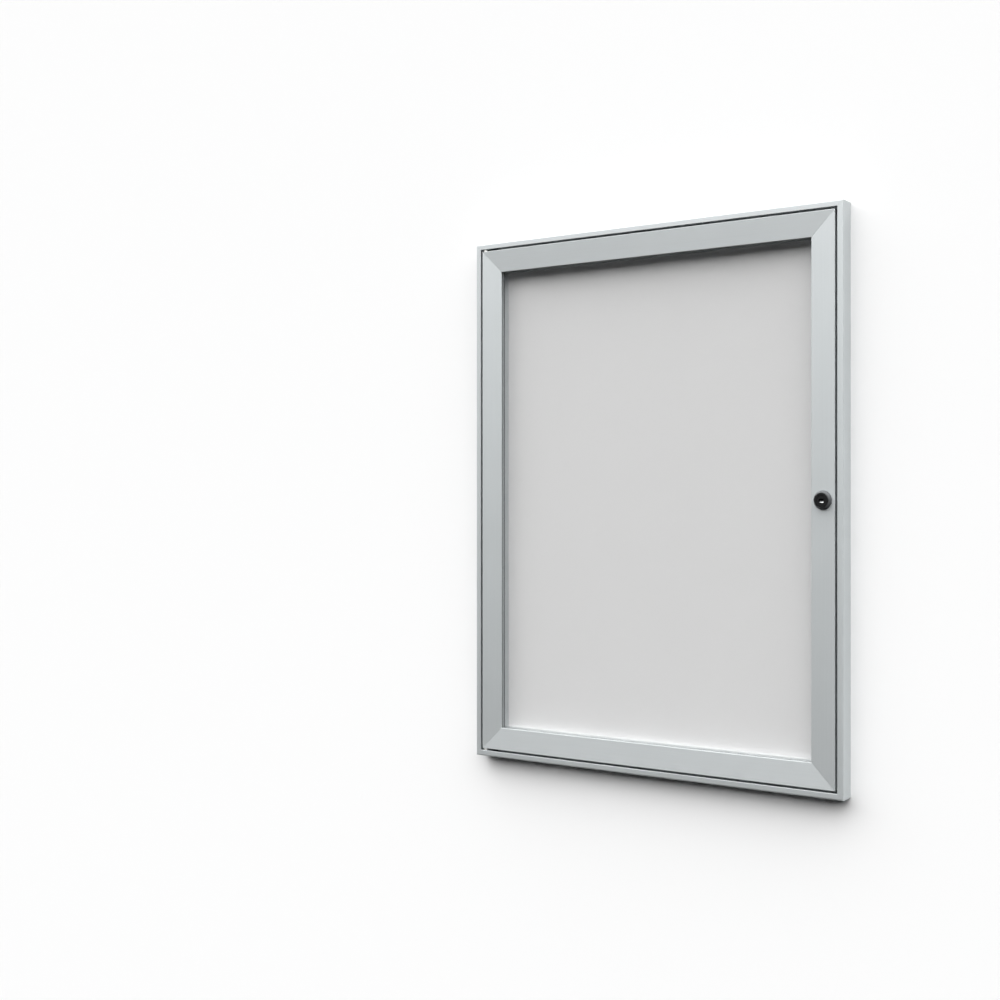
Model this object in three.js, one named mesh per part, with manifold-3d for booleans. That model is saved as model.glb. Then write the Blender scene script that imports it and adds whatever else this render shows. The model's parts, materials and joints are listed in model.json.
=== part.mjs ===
// Lockable notice board: a shallow aluminium wall case with a glazed door that swings on two
// pivot pins and shuts with a cam lock.
// Millimetres. X runs right along the wall, Y runs into the wall and Z runs up.
// The origin lies on the wall, in the middle of the top rail's rear face.
// Every rail and stile shares one section frame: u runs inward from the case's outer edge,
// v runs from the wall to the front, and the run goes along the side.
import * as THREE from 'three';
import { mergeVertices } from 'three/addons/utils/BufferGeometryUtils.js';
import Module from 'manifold-3d';

const wasm = await Module();
wasm.setup();

// Overall size
const caseWidth = 502;
const caseHeight = 672;
const caseDepth = 23;
const frameWidth = 38.5;

// Fits between pieces
const seatGap = 0.1;
const runningGap = 0.3;
const mitreGap = 0.05;
const overrun = 1;

// Case section
const caseWall = 1.6;
const caseBase = 1.5;
const caseEdgeRadius = 1.6;
const lipWidth = 7;
const lipEdgeRadius = 0.4;
const grooveDepth = 5;
const grooveWall = 1.4;
const upstandWall = 1.4;
const keyChamberWidth = 10;
const keyChamberWall = 1.2;
const keyHook = 1;
const keyHookThickness = 1;
const keeperRibReach = 6.4;
const keeperRibThickness = 1.2;

// Back panel
const panelThickness = 1.2;
const panelClearance = 0.2;
const panelEngagement = 4.6;

// Door section
const doorGap = 2.7;
const doorWall = 1.5;
const doorSlopeDrop = 2.5;
const doorEdgeRadius = 0.5;
const noseThickness = 1.4;
const noseEdgeRadius = 0.5;
const rebateWidth = 5.3;
const ledgeReach = 1.4;

// Glazing and seals
const gasketThickness = 0.8;
const gasketWidth = 4.2;
const paneThickness = 2.8;
const beadThickness = 1.3;
const beadHookThickness = 1.1;
const sealWidth = 2.2;
const sealThickness = 2.3;

// Corner keys
const caseKeyThickness = 2.9;
const caseKeyArm = 46;
const caseKeyCornerCut = 2.5;
const doorKeyArm = 58;
const doorKeyCornerCut = 3;

// Wall fixing and drainage
const fixingHoleRadius = 2.75;
const fixingHoleInset = 22;
const fixingHoleFromEnd = 72;
const drainSlotLength = 14;
const drainSlotWidth = 3;
const drainSlotFromEnd = 110;
const drainSlotHeight = 14;

// Door pivots
const pivotFromEdge = 14.2;
const pivotFromFront = 4.6;
const pivotPinRadius = 1.3;
const pivotPinShortfall = 0.5;
const bushWall = 0.75;
const bushLength = 7;
const bushCollarRadius = 1.75;
const bushLugWidth = 3.4;
const bushLugSetback = 0.6;
const pivotBlockLength = 17;
const pivotBlockWidth = 5.6;
const pivotBlockStart = 9;
const setScrewRadius = 1.5;
const setScrewLength = 5;
const setScrewSocket = 0.85;
const setScrewSocketDepth = 2;
const setScrewFromPin = 7;

// Cam lock
const lockFromOpening = 14.4;
const bezelBaseRadius = 10.9;
const bezelFrontRadius = 8.3;
const bezelRimHeight = 0.9;
const bezelHeight = 6;
const bezelEdgeRadius = 0.6;
const lockShankRadius = 8;
const lockShankFlat = 6.9;
const lockShankClearance = 0.2;
const lockShankEnd = 8.7;
const lockNutAcrossFlats = 19;
const lockNutThickness = 3;
const plugRadius = 5.5;
const plugClearance = 0.15;
const plugRecess = 0.45;
const plugRearRadius = 4.6;
const keywayLength = 5.9;
const keywayWidth = 4.7;
const keywayCornerRadius = 1.2;
const keywayDrop = 1;
const keywayDepth = 9;
const shutterThickness = 0.4;
const shutterDepth = 2.5;
const shutterTilt = THREE.MathUtils.degToRad(38);
const camLength = 18.7;
const camHubRadius = 7;
const camTipRadius = 2.5;
const camWidth = 11;
const camThickness = 1.8;
const camSquare = 6;
const camSquareClearance = 0.15;
const camScrewHeadRadius = 4;
const camScrewHeadHeight = 1.8;
const camScrewRadius = 1.5;
const camScrewLength = 5;

// Facets round a full turn, fine for what shows and coarse for what is hidden
const fineFacets = 72;
const plainFacets = 32;
const cornerFacets = 4;
const hexSides = 6;

// Places that follow from the sizes above
const doorEdge = lipWidth + doorGap;
const doorFaceWidth = frameWidth - doorEdge;
const doorSlope = doorSlopeDrop / doorFaceWidth;
const doorFrontAt = (u) => caseDepth - doorSlope * (u - doorEdge);
const noseRear = doorFrontAt(frameWidth) - noseThickness;
const rebateEdge = frameWidth - rebateWidth;
const gasketRear = noseRear - seatGap / 2 - gasketThickness;
const paneRear = gasketRear - seatGap / 2 - paneThickness;
const beadRear = paneRear - seatGap / 2 - beadThickness;
const doorRear = beadRear - seatGap - doorWall;
const sealRear = beadRear - seatGap / 2 - sealThickness;
const upstandTop = sealRear - runningGap;
const grooveTop = caseBase + panelThickness + 2 * panelClearance;
const grooveFloor = frameWidth - grooveDepth;
const keyChamberEnd = caseWall + keyChamberWidth;
const keyHookRear = caseBase + caseKeyThickness + 2 * seatGap;
const keyHookFront = keyHookRear + keyHookThickness;
const camFront = lockShankEnd - runningGap;
const camRear = camFront - camThickness;
const keeperRear = camFront + runningGap;
const keeperFront = keeperRear + keeperRibThickness;
const lockInset = frameWidth - lockFromOpening;
const lockFace = doorFrontAt(lockInset);
const lockFront = lockFace + bezelHeight;
const pivotHeight = caseDepth - pivotFromFront;
const boreRadius = plugRadius + plugClearance;
const bushRadius = pivotPinRadius + seatGap + bushWall;
const pivotBlockNear = caseWall + seatGap;
const pivotBlockFar = pivotBlockNear + pivotBlockWidth;
const bushCollarHeight = doorEdge - pivotBlockFar - runningGap;

// Finishes
const finish = {
  anodised: { color: 0xc3c8c9, roughness: 0.38, metalness: 0.9 },
  panel: { color: 0xd9dada, roughness: 0.45, metalness: 0 },
  acrylic: { color: 0xf4f8f8, roughness: 0.05, metalness: 0, transparent: true, opacity: 0.18 },
  rubber: { color: 0x1c1d1e, roughness: 0.8, metalness: 0 },
  zinc: { color: 0x8f9395, roughness: 0.5, metalness: 0.8 },
  steel: { color: 0xb9bcbd, roughness: 0.3, metalness: 0.95 },
  nylon: { color: 0xe3e1da, roughness: 0.55, metalness: 0 },
  blackened: { color: 0x17181a, roughness: 0.35, metalness: 0.4 },
};

// Closed mesh to solid and back
function solidFrom(geometry) {
  const bare = geometry.clone();
  bare.deleteAttribute('normal');
  bare.deleteAttribute('uv');
  const merged = mergeVertices(bare);
  return new wasm.Manifold(
    new wasm.Mesh({
      numProp: 3,
      vertProperties: new Float32Array(merged.attributes.position.array),
      triVerts: new Uint32Array(merged.index.array),
    }),
  );
}

function geometryFrom(solid) {
  const mesh = solid.getMesh();
  const geometry = new THREE.BufferGeometry();
  geometry.setAttribute('position', new THREE.BufferAttribute(mesh.vertProperties, 3));
  geometry.setIndex(new THREE.BufferAttribute(mesh.triVerts, 1));
  geometry.computeVertexNormals();
  return geometry;
}

function cut(geometry, tools) {
  const solid = tools.reduce((rest, tool) => rest.subtract(solidFrom(tool)), solidFrom(geometry));
  return geometryFrom(solid);
}

function join(first, second) {
  return geometryFrom(solidFrom(first).add(solidFrom(second)));
}

// Flat outlines
function outline(points) {
  return new THREE.Shape(points.map(([x, y]) => new THREE.Vector2(x, y)));
}

function rectangle(left, bottom, right, top) {
  return outline([
    [left, bottom],
    [right, bottom],
    [right, top],
    [left, top],
  ]);
}

// A rectangle with round corners, with its middle on the axis
function roundedRectangle(length, width, radius) {
  const shape = new THREE.Shape();
  const along = length / 2 - radius;
  const across = width / 2 - radius;
  shape.absarc(along, across, radius, 0, Math.PI / 2);
  shape.absarc(-along, across, radius, Math.PI / 2, Math.PI);
  shape.absarc(-along, -across, radius, Math.PI, 1.5 * Math.PI);
  shape.absarc(along, -across, radius, 1.5 * Math.PI, 2 * Math.PI);
  shape.closePath();
  return shape;
}

// A disc with two flats, one on each side of the section's u axis
function flattedDisc(radius, flat) {
  const shape = new THREE.Shape();
  const turn = Math.acos(flat / radius);
  shape.absarc(0, 0, radius, turn, Math.PI - turn);
  shape.absarc(0, 0, radius, Math.PI + turn, -turn);
  shape.closePath();
  return shape;
}

function extrude(shape, depth, facets = plainFacets) {
  return new THREE.ExtrudeGeometry(shape, {
    depth,
    bevelEnabled: false,
    curveSegments: facets,
  });
}

// Extrusions along v, with the outline drawn in u and run
function extrudeToFront(shape, rear, front, facets) {
  const geometry = extrude(shape, front - rear, facets);
  geometry.rotateX(Math.PI / 2);
  geometry.translate(0, front, 0);
  return geometry;
}

// Round bars along v and along u
function rodToFront(radius, rear, front, u, run, facets = plainFacets) {
  const geometry = new THREE.CylinderGeometry(radius, radius, front - rear, facets);
  geometry.translate(u, (rear + front) / 2, run);
  return geometry;
}

function rodInward(radius, from, to, v, run, facets = plainFacets) {
  const geometry = new THREE.CylinderGeometry(radius, radius, to - from, facets);
  geometry.rotateZ(-Math.PI / 2);
  geometry.translate((from + to) / 2, v, run);
  return geometry;
}

function rodAlongRun(radius, from, to, u, v, facets = plainFacets) {
  const geometry = new THREE.CylinderGeometry(radius, radius, to - from, facets);
  geometry.rotateX(Math.PI / 2);
  geometry.translate(u, v, (from + to) / 2);
  return geometry;
}

// A round piece on the v axis, from points of radius and v
function turned(points, facets = fineFacets) {
  return new THREE.LatheGeometry(
    points.map(([radius, v]) => new THREE.Vector2(radius, v)),
    facets,
  );
}

// A length of a section with both ends cut at 45 degrees, so that it meets its neighbours
function mitred(shape, length) {
  const geometry = extrude(shape, length, cornerFacets);
  const places = geometry.attributes.position;
  for (let i = 0; i < places.count; i += 1) {
    const u = places.getX(i);
    const atStart = places.getZ(i) < length / 2;
    places.setZ(i, atStart ? u + mitreGap : length - u - mitreGap);
  }
  geometry.computeVertexNormals();
  return geometry;
}

// The four sides in order round the case, each run starting where the last one ended
const toFront = new THREE.Vector3(0, -1, 0);
const sides = {
  top: {
    length: caseWidth,
    corner: new THREE.Vector3(caseWidth / 2, 0, caseHeight / 2),
    inward: new THREE.Vector3(0, 0, -1),
    run: new THREE.Vector3(-1, 0, 0),
    cornerName: 'top_lock',
  },
  hinge: {
    length: caseHeight,
    corner: new THREE.Vector3(-caseWidth / 2, 0, caseHeight / 2),
    inward: new THREE.Vector3(1, 0, 0),
    run: new THREE.Vector3(0, 0, -1),
    cornerName: 'top_hinge',
  },
  bottom: {
    length: caseWidth,
    corner: new THREE.Vector3(-caseWidth / 2, 0, -caseHeight / 2),
    inward: new THREE.Vector3(0, 0, 1),
    run: new THREE.Vector3(1, 0, 0),
    cornerName: 'bottom_hinge',
  },
  lock: {
    length: caseHeight,
    corner: new THREE.Vector3(caseWidth / 2, 0, -caseHeight / 2),
    inward: new THREE.Vector3(-1, 0, 0),
    run: new THREE.Vector3(0, 0, 1),
    cornerName: 'bottom_lock',
  },
};
const memberName = {
  top: 'top_rail',
  hinge: 'hinge_stile',
  bottom: 'bottom_rail',
  lock: 'lock_stile',
};
const pivotLevel = { top: 'upper', bottom: 'lower' };

// Distance along a rail's run of a place measured from the hinge side
function fromHingeSide(sideName, distance) {
  return sideName === 'top' ? caseWidth - distance : distance;
}

function piece(name, geometry, look) {
  const mesh = new THREE.Mesh(geometry, new THREE.MeshStandardMaterial(look));
  mesh.name = name;
  return mesh;
}

// A group in the section frame of one side
function sideFrame(sideName) {
  const side = sides[sideName];
  const group = new THREE.Group();
  const axes = new THREE.Matrix4().makeBasis(side.inward, toFront, side.run);
  group.quaternion.setFromRotationMatrix(axes);
  group.position.copy(side.corner);
  return group;
}

function frames() {
  return Object.fromEntries(Object.keys(sides).map((name) => [name, sideFrame(name)]));
}

// Case section: outer wall with front lip, keeper rib, corner key chamber, panel groove and
// the upstand that frames the display
function caseSection() {
  const shape = new THREE.Shape();
  const lipRear = caseDepth - caseWall;
  shape.moveTo(0, 0);
  shape.lineTo(frameWidth, 0);
  shape.lineTo(frameWidth, caseBase);
  shape.lineTo(grooveFloor, caseBase);
  shape.lineTo(grooveFloor, grooveTop);
  shape.lineTo(frameWidth, grooveTop);
  shape.lineTo(frameWidth, upstandTop);
  shape.lineTo(frameWidth - upstandWall, upstandTop);
  shape.lineTo(frameWidth - upstandWall, grooveTop + grooveWall);
  shape.lineTo(grooveFloor - grooveWall, grooveTop + grooveWall);
  shape.lineTo(grooveFloor - grooveWall, caseBase);
  shape.lineTo(keyChamberEnd + keyChamberWall, caseBase);
  shape.lineTo(keyChamberEnd + keyChamberWall, keyHookFront);
  shape.lineTo(keyChamberEnd - keyHook, keyHookFront);
  shape.lineTo(keyChamberEnd - keyHook, keyHookRear);
  shape.lineTo(keyChamberEnd, keyHookRear);
  shape.lineTo(keyChamberEnd, caseBase);
  shape.lineTo(caseWall, caseBase);
  shape.lineTo(caseWall, keyHookRear);
  shape.lineTo(caseWall + keyHook, keyHookRear);
  shape.lineTo(caseWall + keyHook, keyHookFront);
  shape.lineTo(caseWall, keyHookFront);
  shape.lineTo(caseWall, keeperRear);
  shape.lineTo(caseWall + keeperRibReach, keeperRear);
  shape.lineTo(caseWall + keeperRibReach, keeperFront);
  shape.lineTo(caseWall, keeperFront);
  shape.lineTo(caseWall, lipRear);
  shape.lineTo(lipWidth, lipRear);
  shape.absarc(lipWidth - lipEdgeRadius, caseDepth - lipEdgeRadius, lipEdgeRadius, 0, Math.PI / 2);
  shape.absarc(
    caseEdgeRadius,
    caseDepth - caseEdgeRadius,
    caseEdgeRadius,
    Math.PI / 2,
    Math.PI,
  );
  return shape;
}

// Door section: a hollow box with a sloping face, a nose over the pane and a ledge for the bead
function doorSection() {
  const shape = new THREE.Shape();
  const faceTurn = Math.atan(doorSlope);
  const roundCentre = doorEdge + doorEdgeRadius;
  const noseCentre = frameWidth - noseEdgeRadius;
  shape.moveTo(doorEdge, doorRear);
  shape.lineTo(rebateEdge + ledgeReach, doorRear);
  shape.lineTo(rebateEdge + ledgeReach, doorRear + doorWall);
  shape.lineTo(rebateEdge, doorRear + doorWall);
  shape.lineTo(rebateEdge, noseRear);
  shape.lineTo(frameWidth, noseRear);
  shape.absarc(
    noseCentre,
    doorFrontAt(noseCentre) - noseEdgeRadius / Math.cos(faceTurn),
    noseEdgeRadius,
    0,
    Math.PI / 2 - faceTurn,
  );
  shape.absarc(
    roundCentre,
    doorFrontAt(roundCentre) - doorEdgeRadius / Math.cos(faceTurn),
    doorEdgeRadius,
    Math.PI / 2 - faceTurn,
    Math.PI,
  );
  const hollow = new THREE.Path();
  const near = doorEdge + doorWall;
  const far = rebateEdge - doorWall;
  hollow.moveTo(near, doorRear + doorWall);
  hollow.lineTo(near, doorFrontAt(near) - doorWall);
  hollow.lineTo(far, doorFrontAt(far) - doorWall);
  hollow.lineTo(far, doorRear + doorWall);
  hollow.closePath();
  shape.holes.push(hollow);
  return shape;
}

function gasketSection() {
  return rectangle(frameWidth - gasketWidth, gasketRear, frameWidth, gasketRear + gasketThickness);
}

// Glazing bead: a flat leg behind the pane and a hook over the door's ledge
function beadSection() {
  const hookNear = rebateEdge + ledgeReach + seatGap;
  const hookFar = hookNear + beadHookThickness;
  return outline([
    [rebateEdge + seatGap, beadRear],
    [hookNear, beadRear],
    [hookNear, doorRear],
    [hookFar, doorRear],
    [hookFar, beadRear],
    [frameWidth, beadRear],
    [frameWidth, beadRear + beadThickness],
    [rebateEdge + seatGap, beadRear + beadThickness],
  ]);
}

// Door seal: a strip with a round bulb that meets the case's upstand
function sealSection() {
  const shape = new THREE.Shape();
  const radius = sealWidth / 2;
  const right = frameWidth - seatGap;
  const left = right - sealWidth;
  const front = sealRear + sealThickness;
  shape.moveTo(right, front);
  shape.lineTo(left, front);
  shape.absarc(left + radius, sealRear + radius, radius, Math.PI, 2 * Math.PI);
  return shape;
}

// Section of the cast key inside the door's hollow, following its sloping face
function doorKeySection() {
  const near = doorEdge + doorWall + seatGap;
  const far = rebateEdge - doorWall - seatGap;
  const rear = doorRear + doorWall + seatGap;
  return outline([
    [near, rear],
    [far, rear],
    [far, doorFrontAt(far) - doorWall - seatGap],
    [near, doorFrontAt(near) - doorWall - seatGap],
  ]);
}

// One arm of a key, mitred at the corner and square at its far end
function keyArm(shape, armEnd) {
  const geometry = extrude(shape, armEnd, cornerFacets);
  const places = geometry.attributes.position;
  for (let i = 0; i < places.count; i += 1) {
    if (places.getZ(i) < armEnd / 2) {
      places.setZ(i, places.getX(i));
    }
  }
  return geometry;
}

// The same arm on the neighbouring side: u and run change places, and the faces turn over
function mirroredArm(arm) {
  const geometry = arm.clone();
  const places = geometry.attributes.position;
  for (let i = 0; i < places.count; i += 3) {
    const corners = [0, 2, 1].map((k) => new THREE.Vector3().fromBufferAttribute(places, i + k));
    corners.forEach((corner, k) => places.setXYZ(i + k, corner.z, corner.y, corner.x));
  }
  return geometry;
}

// Case corner key: a flat L that lies in the key chambers of two neighbours
function caseKeyGeometry() {
  const near = caseWall + seatGap;
  const far = keyChamberEnd - seatGap;
  const shape = outline([
    [near + caseKeyCornerCut, near],
    [caseKeyArm, near],
    [caseKeyArm, far],
    [far, far],
    [far, caseKeyArm],
    [near, caseKeyArm],
    [near, near + caseKeyCornerCut],
  ]);
  return extrudeToFront(shape, caseBase + seatGap, caseBase + seatGap + caseKeyThickness);
}

// Door corner key: two arms in one casting, with the outer corner cut off
function doorKeyGeometry(bore) {
  const arm = keyArm(doorKeySection(), doorKeyArm);
  const near = doorEdge + doorWall + seatGap;
  const corner = outline([
    [near - overrun, near - overrun],
    [near + doorKeyCornerCut + overrun, near - overrun],
    [near - overrun, near + doorKeyCornerCut + overrun],
  ]);
  const cornerTool = extrudeToFront(corner, doorRear, caseDepth);
  const tools = bore ? [cornerTool, bore] : [cornerTool];
  return cut(join(arm, mirroredArm(arm)), tools);
}

// Tools that cut the wall fixing holes, the drain slots, the lock hole and the pivot holes
function fixingHoles() {
  const hole = (run) => {
    return rodToFront(fixingHoleRadius, -overrun, caseBase + overrun, fixingHoleInset, run);
  };
  return [hole(fixingHoleFromEnd), hole(caseWidth - fixingHoleFromEnd)];
}

function drainSlots() {
  const slot = (run) => {
    const geometry = new THREE.BoxGeometry(caseWall + 2 * overrun, drainSlotWidth, drainSlotLength);
    geometry.translate(caseWall / 2, drainSlotHeight, run);
    return geometry;
  };
  return [slot(drainSlotFromEnd), slot(caseWidth - drainSlotFromEnd)];
}

function lockHole() {
  const shape = flattedDisc(
    lockShankRadius + lockShankClearance,
    lockShankFlat + lockShankClearance,
  );
  const geometry = extrudeToFront(shape, doorRear - overrun, caseDepth + overrun);
  geometry.translate(lockInset, 0, caseHeight / 2);
  return geometry;
}

function pivotHoleInRail(sideName) {
  const run = fromHingeSide(sideName, pivotFromEdge);
  const end = doorEdge + doorWall + overrun;
  return rodInward(bushRadius + seatGap, doorEdge - overrun, end, pivotHeight, run);
}

// Case: four mitred members on corner keys, round the back panel
function buildCase() {
  const group = new THREE.Group();
  const frame = frames();
  group.add(...Object.values(frame));
  const section = caseSection();
  const cuts = { top: fixingHoles(), bottom: [...fixingHoles(), ...drainSlots()] };
  for (const [name, side] of Object.entries(sides)) {
    const bar = mitred(section, side.length);
    const geometry = cuts[name] ? cut(bar, cuts[name]) : bar;
    frame[name].add(piece(`case_${memberName[name]}`, geometry, finish.anodised));
    frame[name].add(piece(`case_corner_key_${side.cornerName}`, caseKeyGeometry(), finish.zinc));
  }
  for (const [name, level] of Object.entries(pivotLevel)) {
    frame[name].add(...pivotFixedPieces(name, level));
  }
  group.add(backPanel());
  return group;
}

function backPanel() {
  const edge = frameWidth - panelEngagement;
  const geometry = new THREE.BoxGeometry(
    caseWidth - 2 * edge,
    panelThickness,
    caseHeight - 2 * edge,
  );
  geometry.translate(0, -(caseBase + panelClearance + panelThickness / 2), 0);
  return piece('back_panel', geometry, finish.panel);
}

// Fixed half of a pivot: a block behind the lip, the pin it holds and its set screw
function pivotFixedPieces(sideName, level) {
  const pinRun = fromHingeSide(sideName, pivotFromEdge);
  const screwRun = fromHingeSide(sideName, pivotFromEdge + setScrewFromPin);
  const blockRun = fromHingeSide(sideName, pivotBlockStart + pivotBlockLength / 2);
  const blockRear = keeperFront + seatGap;
  const blockFront = caseDepth - caseWall - seatGap;
  const body = new THREE.BoxGeometry(pivotBlockWidth, blockFront - blockRear, pivotBlockLength);
  body.translate((pivotBlockNear + pivotBlockFar) / 2, (blockRear + blockFront) / 2, blockRun);
  const pinHole = rodInward(
    pivotPinRadius + seatGap,
    pivotBlockNear - overrun,
    pivotBlockFar + overrun,
    pivotHeight,
    pinRun,
  );
  const screwHole = rodInward(
    setScrewRadius + seatGap,
    pivotBlockNear - overrun,
    pivotBlockFar + overrun,
    pivotHeight,
    screwRun,
  );
  const block = cut(body, [pinHole, screwHole]);
  const pinEnd = doorEdge + bushLength - pivotPinShortfall;
  const pin = rodInward(pivotPinRadius, pivotBlockNear, pinEnd, pivotHeight, pinRun);
  const screwBody = rodInward(
    setScrewRadius,
    pivotBlockNear,
    pivotBlockNear + setScrewLength,
    pivotHeight,
    screwRun,
  );
  const socket = rodInward(
    setScrewSocket,
    pivotBlockNear + setScrewLength - setScrewSocketDepth,
    pivotBlockNear + setScrewLength + overrun,
    pivotHeight,
    screwRun,
    hexSides,
  );
  return [
    piece(`${level}_pivot_block`, block, finish.zinc),
    piece(`${level}_pivot_pin`, pin, finish.steel),
    piece(`${level}_pivot_block_screw`, cut(screwBody, [socket]), finish.steel),
  ];
}

// Door: four mitred members on cast keys, with the pane clamped between gasket and bead
function buildDoor() {
  const group = new THREE.Group();
  const frame = frames();
  group.add(...Object.values(frame));
  const sections = {
    glazing_gasket: [gasketSection(), finish.rubber],
    glazing_bead: [beadSection(), finish.anodised],
    door_seal: [sealSection(), finish.rubber],
  };
  const section = doorSection();
  const cuts = {
    top: [pivotHoleInRail('top')],
    bottom: [pivotHoleInRail('bottom')],
    lock: [lockHole()],
  };
  for (const [name, side] of Object.entries(sides)) {
    const bar = mitred(section, side.length);
    const geometry = cuts[name] ? cut(bar, cuts[name]) : bar;
    frame[name].add(piece(`door_${memberName[name]}`, geometry, finish.anodised));
    const key = doorKeyGeometry(keyBores[name]?.());
    frame[name].add(piece(`door_corner_key_${side.cornerName}`, key, finish.zinc));
    for (const [stem, [strip, look]] of Object.entries(sections)) {
      frame[name].add(piece(`${stem}_${name}`, mitred(strip, side.length), look));
    }
  }
  for (const [name, level] of Object.entries(pivotLevel)) {
    frame[name].add(pivotBush(name, level));
  }
  group.add(glazingPane());
  const lock = sideFrame('lock');
  lock.add(lockAxis(lockBody(), lockNut()));
  group.add(lock);
  return group;
}

// The two keys on the hinge side are bored for the bushes. Each key lies in the frame of the
// side that starts at its corner, so one bore goes along the run and the other goes inward.
const boreEnd = doorEdge + bushLength + seatGap;
const keyBores = {
  hinge: () => rodAlongRun(bushRadius + seatGap, 0, boreEnd, pivotFromEdge, pivotHeight),
  bottom: () => rodInward(bushRadius + seatGap, 0, boreEnd, pivotHeight, pivotFromEdge),
};

function glazingPane() {
  const edge = rebateEdge + runningGap;
  const geometry = new THREE.BoxGeometry(
    caseWidth - 2 * edge,
    paneThickness,
    caseHeight - 2 * edge,
  );
  geometry.translate(0, -(paneRear + paneThickness / 2), 0);
  return piece('glazing_pane', geometry, finish.acrylic);
}

// Nylon bush in a door rail, turning on the pin. Its collar runs on the pivot block and has a
// square lug that covers the pin from the front.
function pivotBush(sideName, level) {
  const bore = pivotPinRadius + seatGap;
  const run = fromHingeSide(sideName, pivotFromEdge);
  const collarEnd = doorEdge - bushCollarHeight;
  const bush = turned([
    [bore, -bushCollarHeight],
    [bushCollarRadius, -bushCollarHeight],
    [bushCollarRadius, 0],
    [bushRadius, 0],
    [bushRadius, bushLength],
    [bore, bushLength],
    [bore, -bushCollarHeight],
  ], plainFacets);
  bush.rotateZ(-Math.PI / 2);
  bush.translate(doorEdge, pivotHeight, run);
  const lug = extrudeToFront(
    rectangle(
      collarEnd + seatGap,
      run - bushLugWidth / 2,
      doorEdge - seatGap,
      run + bushLugWidth / 2,
    ),
    pivotHeight,
    caseDepth - bushLugSetback,
  );
  const core = rodInward((bore + bushCollarRadius) / 2, collarEnd, doorEdge, pivotHeight, run);
  return piece(`${level}_pivot_bush`, join(bush, cut(lug, [core])), finish.nylon);
}

// A group on the lock's axis, in the middle of the lock stile
function lockAxis(...pieces) {
  const group = new THREE.Group();
  group.position.set(lockInset, 0, caseHeight / 2);
  group.add(...pieces);
  return group;
}

// Lock body: a tapered black bezel seated on the sloping face and a flatted shank behind it
function lockBody() {
  const rimTop = lockFace + bezelRimHeight;
  const seatDepth = lockFace - doorWall;
  const bezel = turned([
    [boreRadius, seatDepth],
    [bezelBaseRadius, seatDepth],
    [bezelBaseRadius, rimTop],
    [bezelFrontRadius + bezelEdgeRadius / 2, lockFront - bezelEdgeRadius],
    [bezelFrontRadius - bezelEdgeRadius / 2, lockFront],
    [boreRadius, lockFront],
    [boreRadius, seatDepth],
  ]);
  const reach = bezelBaseRadius + overrun;
  const seatAt = (u) => doorFrontAt(lockInset + u) + seatGap / 2;
  const wedge = extrude(
    outline([
      [-reach, seatDepth - overrun],
      [reach, seatDepth - overrun],
      [reach, seatAt(reach)],
      [-reach, seatAt(-reach)],
    ]),
    2 * reach,
  );
  wedge.translate(0, 0, -reach);
  const shankShape = flattedDisc(lockShankRadius, lockShankFlat);
  const shankHole = new THREE.Path();
  shankHole.absarc(0, 0, boreRadius, 0, 2 * Math.PI, true);
  shankShape.holes.push(shankHole);
  const shank = extrudeToFront(shankShape, lockShankEnd, lockFace + bezelRimHeight, fineFacets / 2);
  return piece('lock_body', join(cut(bezel, [wedge]), shank), finish.blackened);
}

function lockNut() {
  const cornerRadius = lockNutAcrossFlats / Math.sqrt(3);
  const front = doorRear - seatGap;
  const nut = rodToFront(cornerRadius, front - lockNutThickness, front, 0, 0, hexSides);
  const hole = rodToFront(
    lockShankRadius + seatGap,
    front - lockNutThickness - overrun,
    front + overrun,
    0,
    0,
  );
  return piece('lock_nut', cut(nut, [hole]), finish.steel);
}

// The turning part of the lock: plug, keyway shutter, cam and the screw that holds it
function buildLockPlug() {
  const lock = sideFrame('lock');
  lock.add(lockAxis(lockPlug(), keywayShutter(), lockCam(), camScrew()));
  return lock;
}

function lockPlug() {
  const front = lockFront - plugRecess;
  const plug = turned([
    [0, camFront + seatGap],
    [plugRearRadius, camFront + seatGap],
    [plugRearRadius, lockShankEnd + overrun],
    [plugRadius, lockShankEnd + 2 * overrun],
    [plugRadius, front],
    [0, front],
  ], fineFacets);
  const half = camSquare / 2;
  const square = extrudeToFront(rectangle(-half, -half, half, half), camRear, camFront + overrun);
  const keyway = extrudeToFront(
    roundedRectangle(keywayLength, keywayWidth, keywayCornerRadius),
    front - keywayDepth,
    front + overrun,
    cornerFacets,
  );
  keyway.translate(0, 0, -keywayDrop);
  const screwHole = rodToFront(
    camScrewRadius + seatGap,
    camRear - overrun,
    camRear + camScrewLength + seatGap,
    0,
    0,
  );
  return piece('lock_plug', cut(join(plug, square), [keyway, screwHole]), finish.blackened);
}

// Sprung flap that closes the keyway behind the face, leaning back from its lower edge
function keywayShutter() {
  const shape = roundedRectangle(
    keywayLength - runningGap,
    (keywayWidth - 2 * runningGap) / Math.cos(shutterTilt),
    keywayCornerRadius - runningGap / 2,
  );
  const geometry = extrudeToFront(shape, -shutterThickness / 2, shutterThickness / 2, cornerFacets);
  geometry.rotateX(shutterTilt);
  geometry.translate(0, lockFront - plugRecess - shutterDepth, -keywayDrop);
  return piece('keyway_shutter', geometry, finish.steel);
}

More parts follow.
